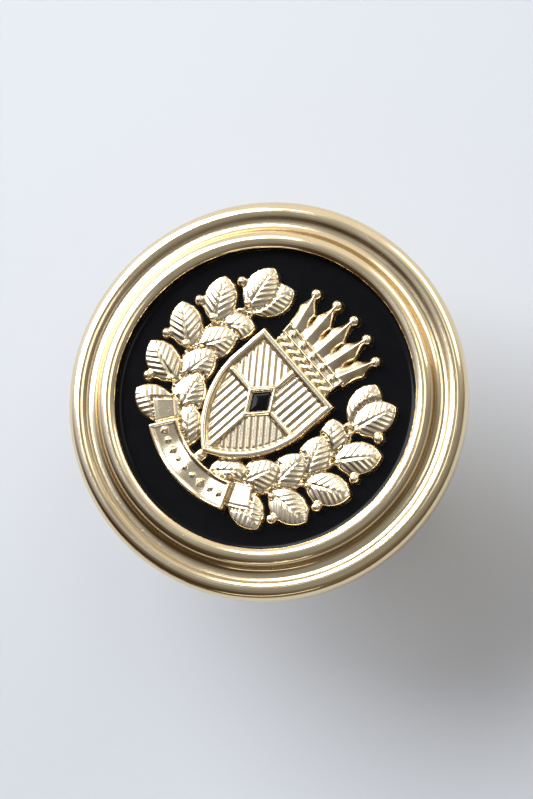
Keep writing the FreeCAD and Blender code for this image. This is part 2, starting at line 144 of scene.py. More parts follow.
def make_world():
    """A pale room: brighter overhead and by the window, with a warm dark corner opposite the key."""
    world = bpy.data.worlds.new("studio")
    world.use_nodes = True
    tree = world.node_tree
    view = tree.nodes.new("ShaderNodeTexCoord").outputs["Generated"]
    walls = (0.34, 0.30, 0.25, 1)
    colour = None
    patches = (
        ((0.0, 0.0, 1.0), -0.1, 0.9, (0.50, 0.51, 0.54, 1)),
        (in_view(-0.85, 0.60, 0.12), 0.45, 0.95, (1.5, 1.62, 2.1, 1)),
        (in_view(0.30, 0.92, 0.10), 0.45, 0.92, (1.5, 1.47, 1.45, 1)),
        (in_view(-0.70, -0.70, 0.10), 0.35, 0.90, (0.10, 0.065, 0.035, 1)),
        (in_view(0.40, -0.90, 0.10), 0.40, 0.90, (0.22, 0.18, 0.13, 1)),
    )
    for direction, start, end, shade in patches:
        dot = tree.nodes.new("ShaderNodeVectorMath")
        dot.operation = "DOT_PRODUCT"
        tree.links.new(view, dot.inputs[0])
        dot.inputs[1].default_value = direction
        share = tree.nodes.new("ShaderNodeMapRange")
        share.interpolation_type = "SMOOTHSTEP"
        share.inputs["From Min"].default_value = start
        share.inputs["From Max"].default_value = end
        tree.links.new(dot.outputs["Value"], share.inputs["Value"])
        mix = tree.nodes.new("ShaderNodeMix")
        mix.data_type = "RGBA"
        tree.links.new(share.outputs[0], mix.inputs[0])
        mix.inputs[6].default_value = walls
        if colour:
            tree.links.new(colour, mix.inputs[6])
        mix.inputs[7].default_value = shade
        colour = mix.outputs[2]
    tree.links.new(colour, tree.nodes["Background"].inputs["Color"])
    tree.nodes["Background"].inputs["Strength"].default_value = 0.62
    bpy.context.scene.world = world
    bpy.context.scene.view_settings.view_transform = "Standard"


# ---- meshes ----


def new_object(name, vertices, faces, smooth=True):
    """A closed mesh whose faces look outwards."""
    mesh = bpy.data.meshes.new(name)
    mesh.from_pydata(vertices, [], faces)
    shape = bmesh.new()
    shape.from_mesh(mesh)
    bmesh.ops.recalc_face_normals(shape, faces=shape.faces)
    shape.to_mesh(mesh)
    shape.free()
    mesh.polygons.foreach_set("use_smooth", [smooth] * len(mesh.polygons))
    piece = bpy.data.objects.new(name, mesh)
    bpy.context.scene.collection.objects.link(piece)
    return piece


def bulge(start, end, rise, steps=12):
    """The points strictly between two, on the arc that rises to the left of the way by rise."""
    (r0, z0), (r1, z1) = start, end
    chord = math.hypot(r1 - r0, z1 - z0)
    curve = (chord**2 / 4 + rise**2) / (2 * rise)
    half = math.asin(min(1.0, chord / (2 * abs(curve))))
    left = (-(z1 - z0) / chord, (r1 - r0) / chord)
    points = []
    for step in range(1, steps):
        angle = half * (2 * step / steps - 1)
        along = (math.sin(angle) * abs(curve) + chord / 2) / chord
        up = math.copysign(abs(curve) * (math.cos(angle) - math.cos(half)), rise)
        points.append((r0 + (r1 - r0) * along + left[0] * up, z0 + (z1 - z0) * along + left[1] * up))
    return points


def rounded(corners, closed, steps=5):
    """A profile's points, with each corner given a third value, its radius, turned into an arc."""
    points = []
    count = len(corners)
    for number, corner in enumerate(corners):
        here = Vector(corner[:2])
        if len(corner) == 2 or not closed and number in (0, count - 1):
            points.append(tuple(here))
            continue
        back = (Vector(corners[number - 1][:2]) - here).normalized()
        on = (Vector(corners[(number + 1) % count][:2]) - here).normalized()
        half = back.angle(on) / 2
        reach = corner[2] / math.tan(half)
        centre = here + (back + on).normalized() * corner[2] / math.sin(half)
        first, last = here + back * reach - centre, here + on * reach - centre
        for step in range(steps + 1):
            ray = first.lerp(last, step / steps).normalized() * corner[2]
            points.append(tuple(centre + ray))
    return points


def lathe(name, profile, around, closed=True, warp=None):
    """A profile of (radius, height) turned about Z. An open one starts and ends on the axis. warp
    gives the radius at an angle."""
    vertices, rings = [], []
    for radius, height in profile:
        if radius == 0.0:
            rings.append([len(vertices)] * around)
            vertices.append((0.0, 0.0, height))
            continue
        rings.append(range(len(vertices), len(vertices) + around))
        for step in range(around):
            angle = 2 * math.pi * step / around
            reach = warp(radius, angle) if warp else radius
            vertices.append((reach * math.cos(angle), reach * math.sin(angle), height))
    faces = []
    pairs = list(zip(rings, rings[1:]))
    if closed:
        pairs.append((rings[-1], rings[0]))
    for lower, upper in pairs:
        for step in range(around):
            after = (step + 1) % around
            loop = (lower[step], lower[after], upper[after], upper[step])
            faces.append(tuple(dict.fromkeys(loop)))
    return new_object(name, vertices, faces)


# ---- materials ----


class Paint:
    """A material under construction: its shader, and the nodes that feed it."""

    def __init__(self, name, **values):
        self.material = bpy.data.materials.new(name)
        self.material.use_nodes = True
        self.tree = self.material.node_tree
        self.shader = self.tree.nodes["Principled BSDF"]
        for socket, value in values.items():
            self.shader.inputs[socket.replace("_", " ")].default_value = value
        self.millimetres = self.scaled((1000.0, 1000.0, 1000.0))

    def node(self, kind, inputs=(), **settings):
        made = self.tree.nodes.new(kind)
        for key, value in settings.items():
            setattr(made, key, value)
        for key, value in dict(inputs).items():
            self.feed(made.inputs[key], value)
        return made

    def feed(self, socket, value):
        if isinstance(value, bpy.types.NodeSocket):
            self.tree.links.new(value, socket)
        else:
            socket.default_value = value

    def scaled(self, scale, turn=(0.0, 0.0, 0.0)):
        """The object's own coordinates, scaled: by 1000 they are in millimetres."""
        coords = self.node("ShaderNodeTexCoord")
        inputs = {"Vector": coords.outputs["Object"], "Scale": scale, "Rotation": turn}
        return self.node("ShaderNodeMapping", inputs).outputs[0]

    def maths(self, operation, *values):
        return self.node("ShaderNodeMath", dict(enumerate(values)), operation=operation).outputs[0]

    def noise(self, scale, detail=3.0, vector=None, distortion=0.0):
        inputs = {"Vector": vector or self.millimetres, "Scale": scale, "Detail": detail}
        inputs["Distortion"] = distortion
        return self.node("ShaderNodeTexNoise", inputs).outputs[0]

    def ranged(self, value, low_in, high_in, low_out, high_out):
        inputs = dict(enumerate((value, low_in, high_in, low_out, high_out)))
        return self.node("ShaderNodeMapRange", inputs, clamp=True).outputs[0]

    def mixed(self, share, first, second):
        made = self.node("ShaderNodeMix", data_type="RGBA")
        for index, value in ((0, share), (6, first), (7, second)):
            self.feed(made.inputs[index], value)
        return made.outputs[2]

    def from_axis(self):
        """The distance from the Z axis, in millimetres."""
        flat = self.node("ShaderNodeVectorMath", {0: self.millimetres, 1: (1, 1, 0)}, operation="MULTIPLY")
        return self.node("ShaderNodeVectorMath", {0: flat.outputs[0]}, operation="LENGTH").outputs["Value"]

    def height(self):
        return self.node("ShaderNodeSeparateXYZ", {0: self.millimetres}).outputs["Z"]

    def edges(self, low_in, high_in):
        """0 in hollows and 1 on edges, by the surface's curvature."""
        curve = self.node("ShaderNodeNewGeometry").outputs["Pointiness"]
        return self.ranged(curve, low_in, high_in, 0.0, 1.0)

    def scratches(self):
        """Fine rubs that cross at three angles, 1 where one runs."""
        total = None
        for turn, stretch in ((0.4, 26.0), (1.7, 34.0), (2.7, 22.0)):
            vector = self.scaled((1000.0 * stretch, 900.0, 1000.0), (0.0, 0.0, turn))
            line = self.ranged(self.noise(0.8, 2.0, vector, 0.3), 0.69, 0.79, 0.0, 1.0)
            total = line if total is None else self.maths("MAXIMUM", total, line)
        return total

    def bumped(self, height, depth, strength=1.0, below=None):
        """Raises the shader's surface by the height, depth metres at 1."""
        inputs = {"Height": height, "Distance": depth, "Strength": strength}
        if below:
            inputs["Normal"] = below
        return self.node("ShaderNodeBump", inputs).outputs[0]

    def finish(self, colour=None, roughness=None, normal=None):
        for socket, value in (("Base Color", colour), ("Roughness", roughness), ("Normal", normal)):
            if value is not None:
                self.feed(self.shader.inputs[socket], value)
        return self.material


GOLD = (0.86, 0.69, 0.42, 1)
PALE_GOLD = (0.90, 0.77, 0.54, 1)
# Dark brown of tarnish and of polish left in hollows, which also paints shade into hollows and grooves.
PATINA_AND_SHADE = (0.30, 0.19, 0.085, 1)
BRASS = (0.74, 0.56, 0.28, 1)
TURNING = 52.0  # radians of the turning lines' wave in a millimetre


def plated(name, colour, shade, turned=0.0, polish=(0.08, 0.18), grooves=()):
    """Plated metal: rubbed bright on its edges; darkened in its hollows and round the grooves at the radii
    given, partly as tarnish and partly as painted shade; with fine scratches, and with turning lines where
    turned gives their depth in metres."""
    paint = Paint(name, Metallic=1.0)
    patches = paint.noise(0.55, 4.0)
    # Hollows and the rings at the grooves get the dark brown: partly tarnish, partly painted shade.
    hollows = paint.maths("SUBTRACT", 1.0, paint.edges(0.40, 0.50))
    for radius, width in grooves:
        away = paint.maths("ABSOLUTE", paint.maths("SUBTRACT", paint.from_axis(), radius / MM))
        hollows = paint.maths("MAXIMUM", hollows, paint.ranged(away, 0.0, width / MM, 1.0, 0.0))
    dull = paint.maths("MULTIPLY", hollows, paint.ranged(patches, 0.3, 0.7, 0.45, 0.9))
    toned = paint.mixed(paint.ranged(patches, 0.35, 0.7, 0.0, 0.35), colour, shade)
    tint = paint.mixed(dull, toned, PATINA_AND_SHADE)
    scratch = paint.scratches()
    grain = paint.noise(26.0, 2.0)
    smooth = paint.ranged(patches, 0.3, 0.75, *polish)
    rough = paint.maths("ADD", smooth, paint.maths("MULTIPLY", scratch, 0.07))
    rough = paint.maths("ADD", rough, paint.maths("MULTIPLY", dull, 0.18))
    normal = paint.bumped(scratch, -0.000002, 0.2)
    normal = paint.bumped(grain, 0.0000022, 0.4, normal)
    if turned:
        wander = paint.maths("MULTIPLY", paint.noise(1.4, 2.0), 0.05)
        reach = paint.maths("ADD", paint.from_axis(), wander)
        rings = paint.maths("SINE", paint.maths("MULTIPLY", reach, TURNING))
        normal = paint.bumped(rings, turned, 0.6, normal)
    return paint.finish(tint, rough, normal)


def crest_gold():
    """Struck relief: bright, rubbed tops, and darker the lower it lies: dark polish left in the lines and
    at the feet, and painted shade there.
    """
    paint = Paint("crest_gold", Metallic=1.0)
    patches = paint.noise(0.9, 4.0)
    # The lower the relief lies, the darker it is painted: polish left at its feet, and painted shade.
    top = paint.ranged(paint.height(), high("enamel") / MM - 0.05, high("enamel") / MM + 0.45, 0.0, 1.0)
    hollows = paint.maths("SUBTRACT", 1.0, paint.edges(0.36, 0.52))
    # dull: the dark brown in hollows and low parts, partly polish residue, partly painted shade.
    dull = paint.maths("MAXIMUM", paint.maths("MULTIPLY", hollows, 0.85), paint.maths("SUBTRACT", 0.75, top))
    toned = paint.mixed(paint.ranged(patches, 0.35, 0.7, 0.0, 0.5), PALE_GOLD, GOLD)
    tint = paint.mixed(dull, toned, PATINA_AND_SHADE)
    smooth = paint.ranged(patches, 0.3, 0.7, 0.13, 0.26)
    rough = paint.maths("ADD", smooth, paint.maths("MULTIPLY", dull, 0.25))
    normal = paint.bumped(paint.noise(9.0, 4.0), 0.000006, 0.35)
    normal = paint.bumped(paint.scratches(), -0.000003, 0.4, normal)
    return paint.finish(tint, rough, normal)


def black_enamel():
    """Hard enamel: near black, stoned flat and glossy, with a faint unevenness, specks and rubs."""
    paint = Paint("black_enamel", Specular_IOR_Level=0.12)
    cloud = paint.noise(0.7, 4.0)
    specks = paint.ranged(paint.noise(14.0, 1.0), 0.74, 0.80, 0.0, 1.0)
    tint = paint.mixed(cloud, (0.0020, 0.0020, 0.0025, 1), (0.0045, 0.0045, 0.0050, 1))
    tint = paint.mixed(paint.maths("MULTIPLY", specks, 0.12), tint, (0.20, 0.19, 0.17, 1))
    scratch = paint.scratches()
    smooth = paint.ranged(cloud, 0.3, 0.7, 0.05, 0.12)
    rough = paint.maths("ADD", smooth, paint.maths("MULTIPLY", scratch, 0.12))
    normal = paint.bumped(paint.noise(0.8, 2.0), 0.00002, 0.15)
    return paint.finish(tint, rough, paint.bumped(scratch, -0.000001, 0.2, normal))


def steel(name, colour=(0.62, 0.61, 0.59, 1), lengthwise=False):
    """Ground or drawn steel: fine lines round the piece, or along its wire."""
    paint = Paint(name, Metallic=1.0)
    scale = (3000.0, 3000.0, 200.0) if lengthwise else (200.0, 200.0, 26000.0)
    lines = paint.noise(3.0, 3.0, paint.scaled(scale))
    patches = paint.noise(1.6, 3.0)
    tint = paint.mixed(paint.ranged(patches, 0.3, 0.7, 0.0, 0.45), colour, (0.40, 0.38, 0.36, 1))
    return paint.finish(tint, paint.ranged(lines, 0.3, 0.7, 0.16, 0.36), paint.bumped(lines, 0.000002, 0.5))


def fibre_board():
    """The packing: pressed fibre, mottled and dull."""
    paint = Paint("fibre_board")
    fibres = paint.noise(5.0, 6.0, distortion=1.5)
    tint = paint.mixed(fibres, (0.30, 0.21, 0.13, 1), (0.52, 0.41, 0.28, 1))
    return paint.finish(tint, paint.ranged(fibres, 0.3, 0.7, 0.75, 0.95), paint.bumped(fibres, 0.00004, 0.6))


def soft_solder():
    paint = Paint("soft_solder", Metallic=1.0)
    lumps = paint.noise(3.0, 3.0)
    tint = paint.mixed(lumps, (0.42, 0.42, 0.43, 1), (0.66, 0.66, 0.66, 1))
    return paint.finish(tint, paint.ranged(lumps, 0.3, 0.7, 0.28, 0.5), paint.bumped(lumps, 0.00002, 0.5))


def floor_paint():
    paint = Paint("floor_paint", Specular_IOR_Level=0.1)
    cloud = paint.noise(0.02, 3.0)
    tint = paint.mixed(cloud, (0.56, 0.575, 0.59, 1), (0.59, 0.605, 0.62, 1))
    grain = paint.bumped(paint.noise(6.0, 2.0), 0.00001, 0.3)
    return paint.finish(tint, paint.ranged(cloud, 0.3, 0.7, 0.6, 0.75), grain)


def dress(piece, material, body, slot, *nodes):
    """Finishes a piece: its material, the body it rides on and the nodes it stands for; slot is not used."""
    piece.data.materials.clear()
    piece.data.materials.append(material)
    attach(piece, body)
    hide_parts(*nodes)


# ---- head ----

EDGE = 0.06 * MM  # the softness of a worn edge
BEAD_REACH, COVE_REACH = 0.95 * MM, 1.65 * MM  # where they end, out from the rim's window


def make_rim(material):
    """A wide moulding that falls outwards: bead, cove and bead, then a skirt that draws in to the
    rolled foot."""
    outer, window = radius_of("rim"), radius_of("enamel")
    top, foot = high("rim"), low("rim")
    ledge = low("enamel")
    bead_start, bead_end = (window, top - 0.18 * MM), (window + BEAD_REACH, top - 0.43 * MM)
    cove_end, shoulder = (window + COVE_REACH, top - 0.68 * MM), (outer, top - 1.13 * MM)
    skirt, heel = (outer, foot + 1.9 * MM), (outer - 0.55 * MM, foot + 0.1 * MM)
    lip, lip_top = radius_of("back_plate") - 0.5 * MM, foot + 0.3 * MM
    bore = radius_of("back_plate") + 0.05 * MM
    profile = [
        (window, ledge), bead_start, *bulge(bead_start, bead_end, 0.30 * MM, 24),
        bead_end, *bulge(bead_end, cove_end, -0.145 * MM, 14),
        cove_end, *bulge(cove_end, shoulder, 0.31 * MM, 24),
        shoulder, skirt, *bulge(skirt, heel, 0.11 * MM, 14),
        *rounded([skirt, (*heel, EDGE), (heel[0] - 0.1 * MM, foot, EDGE), (lip, foot)], False)[1:-1],
        *rounded([heel, (lip, foot, EDGE), (lip, lip_top)], False)[1:],
        (bore, lip_top), (bore, ledge),
    ]
    dress(lathe("rim_moulding", profile, FINE), material, "head", "gilt", "rim")


def make_enamel(material):
    """The fill: flat, and drawn up a little where it meets the rim."""
    edge, top, base = radius_of("enamel"), high("enamel"), low("enamel")
    climb, reach = 0.10 * MM, 0.45 * MM
    profile = [(0.0, base), (edge, base)]
    steps = 14
    for step in range(steps + 1):
        share = 1 - step / steps
        profile.append((edge - reach * (1 - share), top + climb * share**3))
    for share in (0.75, 0.5, 0.25):
        profile.append((edge * share, top))
    profile.append((0.0, top))
    dress(lathe("enamel_fill", profile, FINE, closed=False), material, "head", "black_enamel", "enamel")


def make_back(material):
    """The pressed back: a rolled-under edge and a dimple with soft shoulders."""
    outer, dimple = radius_of("back_plate"), radius_of("solder_ring")
    step_radius = outer - 0.55 * MM
    sheet = 0.5 * MM
    lift, rise = 0.3 * MM, high("solder_ring")
    profile = rounded([
        (0.0, rise), (dimple, rise, EDGE), (dimple, 0.0, EDGE), (step_radius, 0.0, 2 * EDGE),
        (step_radius, lift, EDGE), (outer, lift, EDGE), (outer, lift + sheet, EDGE),
        (step_radius - EDGE, lift + sheet, EDGE), (step_radius - sheet, sheet, 2 * EDGE),
        (dimple + sheet, sheet, EDGE), (dimple + sheet, rise + sheet, 2 * EDGE), (0.0, rise + sheet),
    ], closed=False)
    dress(lathe("spun_back", profile, FINE, closed=False), material, "head", "back_gilt", "back_plate")


def make_pad(material):
    """The disc behind the post's head."""
    outer, hole = radius_of("post_pad"), 0.55 * MM
    top, head = high("post_pad"), radius_of("post")
    seat = top - 0.2 * MM
    profile = rounded([
        (hole, 0.0, EDGE / 2), (outer, 0.0, EDGE), (outer, top, EDGE), (head, top, EDGE / 2),
        (head, seat), (hole, seat),
    ], closed=True)
    dress(lathe("pad_disc", profile, MEDIUM), material, "head", "nickel", "post_pad")


def make_solder(material):
    """The fillet: its face is hollow."""
    inner, outer = radius_of("post_pad"), radius_of("solder_ring")
    top = high("solder_ring")
    edge_in, edge_out = (inner, 0.02 * MM), (outer, 0.02 * MM)
    profile = [edge_in, *bulge(edge_in, edge_out, 0.07 * MM, 10), edge_out, (outer, top), (inner, top)]
    dress(lathe("solder_fillet", profile, MEDIUM), material, "head", "solder", "solder_ring")


def make_post(material):
    """Nail head, stout root, shank with a locking groove, and a ground point."""
    head_radius, top, tip = radius_of("post"), high("post"), low("post")
    root, shank, under = 0.55 * MM, 0.5 * MM, top - 0.2 * MM
    root_end, taper_end, point_start = -1.15 * MM, -1.75 * MM, -6.9 * MM
    groove, groove_end, depth = -5.7 * MM, -6.1 * MM, 0.1 * MM
    shape = [
        (0.0, top), (head_radius, top, EDGE), (head_radius, under, EDGE / 2), (root, under),
        (root, root_end, EDGE), (shank, taper_end, EDGE),
        (shank, groove, EDGE / 2), (shank - depth, groove - depth, EDGE / 2),
        (shank - depth, groove_end + depth, EDGE / 2), (shank, groove_end, EDGE / 2),
        (shank, point_start, 4 * EDGE), (0.08 * MM, tip, EDGE / 2), (0.0, tip),
    ]
    piece = lathe("pin_post", rounded(shape, closed=False), SMALL, closed=False)
    dress(piece, material, "head", "steel", "post")


# ---- the crest's relief ----

CELL = 0.0525  # of the relief's grid
SINK = 0.12  # how far the relief goes on down into the enamel
WALL = 0.05  # half the width over which a form's side rises
MOAT = 0.10  # the depth of the groove round a form that lies over others
SHIELD_WIDTH, SHIELD_TOP, SHIELD_TIP = 5.7, 2.4, -4.3
SHIELD_CURVE, SHIELD_BORDER = 5.4, 0.42
UPRIGHT_HATCH, SLOPING_HATCH = 0.37, 0.48
CORONET_BASE, CORONET_BAND, CORONET_WIDTH = 2.9, 0.7, 4.2
CORONET_REACH, CORONET_SPREAD, CORONET_FALL = 2.5, 1.2, 0.14
BRANCH_RADIUS, BRANCH_START, BRANCH_END = 4.85, -84.0, 33.0
LEAF_LENGTH, LEAF_CURVE, LEAF_SPLAY, END_LEAF_SPLAY = 2.65, 1.42, 42.0, 12.0
LEAF_STATIONS = (-60.0, -38.0, -16.0, 6.0, 28.0)
SHORT_LEAF, LEAF_SEAT = 2.25, 4.0
BERRY_REACH, BERRY_LEAD, BERRY_RADIUS, BUD_RADIUS = 6.35, 23.0, 0.31, 0.22
RIBBON_INSIDE, RIBBON_OUTSIDE = 4.65, 6.3
RIBBON_HALF_ANGLE, RIBBON_FOLD = 42.0, 29.0
LOZENGE_WIDTH, LOZENGE_HEIGHT, LOZENGE_CENTRE = 1.3, 1.7, -0.3


def line(position, width):
    """1 on a line where the position is 0, falling away to each side."""
    return np.exp(-((position / width) ** 2))


class Relief:
    """A height above the enamel at every point of a grid, built up form by form."""

    def __init__(self, reach):
        side = np.arange(-reach, reach + CELL, CELL)
        self.x, self.y = np.meshgrid(side, side, indexing="ij")
        self.height = np.full(self.x.shape, -SINK)

    def add(self, inside, top, over=False):
        """A form: inside is the distance in from its edge, and top its height there. One that lies
        over the others hides them, behind a fine groove round its edge."""
        rise = np.clip((inside + WALL) / (2 * WALL), 0, 1)
        rise = rise * rise * (3 - 2 * rise)
        form = -SINK + (SINK + top) * rise
        if over:
            groove = MOAT * line(inside + WALL, WALL) * (self.height > MOAT)
            form = np.where(inside > 0, form, np.maximum(form, self.height - groove))
            self.height = form
        else:
            self.height = np.maximum(self.height, form)

    def sink(self, inside, depth):
        """Lowers the surface where inside is positive."""
        fall = np.clip((inside + WALL / 2) / WALL, 0, 1)
        self.height = self.height - depth * fall * fall * (3 - 2 * fall)


def polar(angle, reach):
    return reach * math.cos(math.radians(angle)), reach * math.sin(math.radians(angle))


def leaf(relief, root, heading, side, length=LEAF_LENGTH):
    """A pointed leaf that rises to its tip: domed, with a sunk midrib and side veins. side mirrors it
    about Y."""
    x, y = relief.x * side - root[0], relief.y - root[1]
    along_x, along_y = polar(heading, 1.0)
    u, v = x * along_x + y * along_y, y * along_x - x * along_y
    curve = LEAF_CURVE * length / LEAF_LENGTH
    back = math.sqrt(curve**2 - length**2 / 4)
    inside = curve - np.hypot(u - length / 2, np.abs(v) + back)
    dome = np.sqrt(np.clip(inside / (curve - back), 0, 1))
    veins = 0.028 * np.sin((u - 0.9 * np.abs(v)) * 2 * math.pi / 0.36) * np.clip(np.abs(v) / 0.2, 0, 1)
    rib = 0.11 * line(v, 0.07) * np.clip((length - u) / length, 0, 1)
    share = np.clip(u / length, 0, 1)
    relief.add(inside, 0.22 + 0.17 * share + (0.27 + veins) * dome - rib, over=True)


def branch(relief, side):
    """One laurel branch: its stem, an end leaf, then pairs that each lap over the pair above, and
    berries between them."""
    x = relief.x * side
    reach = np.hypot(x, relief.y)
    angle = np.degrees(np.arctan2(relief.y, x))
    ends = np.minimum(angle - BRANCH_START, BRANCH_END - angle) * np.radians(1) * reach
    half = 0.19
    stem = half - np.abs(reach - BRANCH_RADIUS)
    relief.add(np.minimum(stem, ends), 0.28 + 0.22 * np.sqrt(np.clip(stem / half, 0, 1)))
    leaf(relief, polar(BRANCH_END - LEAF_SEAT, BRANCH_RADIUS), BRANCH_END + 90 - END_LEAF_SPLAY, side)
    for station in reversed(LEAF_STATIONS):
        root = polar(station, BRANCH_RADIUS)
        if station < LEAF_STATIONS[-1]:
            length = SHORT_LEAF if station == LEAF_STATIONS[-2] else LEAF_LENGTH
            leaf(relief, root, station + 90 + LEAF_SPLAY, side, length)
        leaf(relief, root, station + 90 - LEAF_SPLAY, side)
        for offset in (0.30, -0.30):
            berry(relief, *polar(station + 1.5, BRANCH_RADIUS + offset), BUD_RADIUS, side, 0.34)
    root = polar(BRANCH_START + LEAF_SEAT, BRANCH_RADIUS)
    leaf(relief, root, BRANCH_START + 90 + LEAF_SPLAY, side, SHORT_LEAF)
    for station in LEAF_STATIONS[:-1]:
        lean = (angle - station - BERRY_LEAD) * np.radians(1) * reach
        stalk = np.minimum(0.12 - np.abs(lean), np.minimum(reach - BRANCH_RADIUS - 0.4, BERRY_REACH - reach))
        relief.add(stalk, 0.30)
        berry(relief, *polar(station + BERRY_LEAD, BERRY_REACH), BERRY_RADIUS, side)


def berry(relief, x, y, radius, side=1, base=0.30):
    """A bead: a half ball on a low foot."""
    away = np.hypot(relief.x * side - x, relief.y - y)
    relief.add(radius - away, base + np.sqrt(np.clip(radius**2 - away**2, 0, None)))


def shield_inside(relief, inset=0.0):
    """The distance in from the edge of the heater shield, drawn an inset inside it."""
    x, y = np.abs(relief.x), relief.y
    half = SHIELD_WIDTH / 2
    chord = math.hypot(half, SHIELD_TIP)
    rise = math.sqrt(SHIELD_CURVE**2 - chord**2 / 4)
    centre_x = half / 2 + rise * SHIELD_TIP / chord
    centre_y = SHIELD_TIP / 2 + rise * half / chord
    low_part = SHIELD_CURVE - np.hypot(x - centre_x, y - centre_y)
    inside = np.minimum(SHIELD_TOP - y, half - x)
    return np.where(y < 0, np.minimum(inside, low_part), inside) - inset


def lozenge_inside(relief, margin=0.0):
    x, y = np.abs(relief.x), np.abs(relief.y - LOZENGE_CENTRE)
    width, height = LOZENGE_WIDTH / 2, LOZENGE_HEIGHT / 2
    reach = width * height / math.hypot(width, height)
    return (1 - x / width - y / height) * reach + margin


def shield(relief):
    """A heater shield: a rolled border, a cross, and two kinds of hatching in its quarters."""
    x, y = relief.x, relief.y
    edge = shield_inside(relief)
    roll = SHIELD_BORDER / 2
    border = 0.60 + 0.15 * np.sqrt(np.clip(1 - ((edge - roll) / roll) ** 2, 0, 1))
    field = shield_inside(relief, SHIELD_BORDER)
    upright = 0.5 + 0.5 * np.cos(x * 2 * math.pi / UPRIGHT_HATCH)
    sloping = 0.5 + 0.5 * np.cos((x + y) * 2 * math.pi / SLOPING_HATCH)
    quarter = x * (y - LOZENGE_CENTRE) > 0
    pattern = np.where(quarter, upright, sloping)
    swell = 0.10 * np.clip(field / 1.6, 0, 1)
    floor = 0.44 + 0.09 * pattern * np.clip(field / 0.15, 0, 1) + swell
    bar = 0.15
    cross = bar - np.minimum(np.abs(x), np.abs(y - LOZENGE_CENTRE))
    raised = 0.60 + 0.10 * np.sqrt(np.clip(cross / bar, 0, 1))
    floor = np.where(cross > 0, np.maximum(floor, raised), floor)
    share = np.clip((field + WALL) / (2 * WALL), 0, 1)
    relief.add(edge, border * (1 - share) + floor * share, over=True)
    relief.add(lozenge_inside(relief, 0.22), np.full(x.shape, 0.75))
    relief.sink(lozenge_inside(relief, 0.02), 0.26)


def torse(relief):
    """A twisted roll between the shield and the coronet."""
    middle, half, length = (SHIELD_TOP + CORONET_BASE) / 2, 0.27, 2.05
    x, y = relief.x, relief.y - middle
    inside = np.minimum(half - np.abs(y), length - np.abs(x))
    roll = np.sqrt(np.clip(1 - (y / half) ** 2, 0, 1))
    twist = np.abs(np.sin((x - 1.1 * y) * math.pi / 0.52))
    relief.add(inside, 0.24 + 0.30 * roll * (0.45 + 0.55 * np.sqrt(twist)))


def coronet(relief):
    """Five flaring points that carry pearls, on a band with jewels between its rails."""
    x, y = relief.x, relief.y
    crown = CORONET_BASE + CORONET_BAND
    foot_spacing, jewel_spacing, jewel = 0.86, 0.78, 0.16
    for number in (-2, 2, -1, 1, 0):
        tip_x = number * CORONET_SPREAD
        tip_y = crown + CORONET_REACH - number**2 * CORONET_FALL
        foot_x, foot_y = number * foot_spacing, crown - 0.1
        length = math.hypot(tip_x - foot_x, tip_y - foot_y)
        along_x, along_y = (tip_x - foot_x) / length, (tip_y - foot_y) / length
        u = (x - foot_x) * along_x + (y - foot_y) * along_y
        v = np.abs((y - foot_y) * along_x - (x - foot_x) * along_y)
        share = np.clip(u / length, 0, 1)
        waist = 0.46 * (1 - share) ** 0.8 + 0.11 + 0.15 * line(share - 0.58, 0.14)
        inside = np.minimum(waist - v, np.minimum(u, length - u))
        ridge = np.clip(1 - v / waist, 0, 1)
        relief.add(inside, 0.30 + 0.34 * ridge**0.8)
        berry(relief, tip_x, tip_y, 0.32)
    lean = 0.10 * (y - CORONET_BASE)
    inside = np.minimum(CORONET_WIDTH / 2 + lean - np.abs(x), np.minimum(y - CORONET_BASE, crown - y))
    relief.add(inside, 0.46 + 0.20 * line(inside - 0.1, 0.07))
    for number in range(-2, 3):
        away = np.hypot((x - number * jewel_spacing) / 1.5, y - CORONET_BASE - CORONET_BAND / 2)
        relief.add(jewel - away, 0.46 + np.sqrt(np.clip(jewel**2 - away**2, 0, None)))


def ribbon(relief):
    """A plain scroll under the shield: folded-back ends, and a row of studs for its words."""
    x, y = relief.x, relief.y
    reach = np.hypot(x, y)
    turn = np.degrees(np.arctan2(x, -y))
    middle, half = (RIBBON_INSIDE + RIBBON_OUTSIDE) / 2, (RIBBON_OUTSIDE - RIBBON_INSIDE) / 2
    arc = np.radians(1) * reach
    back = half - 0.13
    across = np.abs(reach - middle + 0.22)
    out = (np.abs(turn) - RIBBON_FOLD + 3.0) * arc
    inside = np.minimum(back - across, np.minimum((RIBBON_HALF_ANGLE - np.abs(turn)) * arc, out))
    lift = 0.34 + 0.16 * np.clip(out / 1.6, 0, 1)
    relief.add(inside, lift - 0.05 * line(back - across - 0.16, 0.05), over=True)
    across = np.abs(reach - middle)
    inside = np.minimum(half - across, (RIBBON_FOLD - np.abs(turn)) * arc)
    wave = 0.07 * np.cos(np.radians(turn * 360 / RIBBON_FOLD))
    relief.add(inside, 0.54 + 0.12 * line(inside - 0.14, 0.09) + wave, over=True)
    for number in range(-4, 5):
        angle = 6.0 * number
        stud_x, stud_y = polar(angle - 90, middle)
        if number % 2:
            size, away = 0.17, np.hypot(x - stud_x, y - stud_y)
        else:
            size, away = 0.27, np.abs(x - stud_x) + np.abs(y - stud_y)
        relief.add(size - away, 0.56 + 0.6 * np.clip(size - away, 0, None))
    neck = np.minimum(0.30 - np.abs(x), np.minimum(y + RIBBON_INSIDE + 0.05, -y + SHIELD_TIP + 0.4))
    relief.add(neck, 0.40 + 0.12 * np.clip(neck / 0.3, 0, 1))


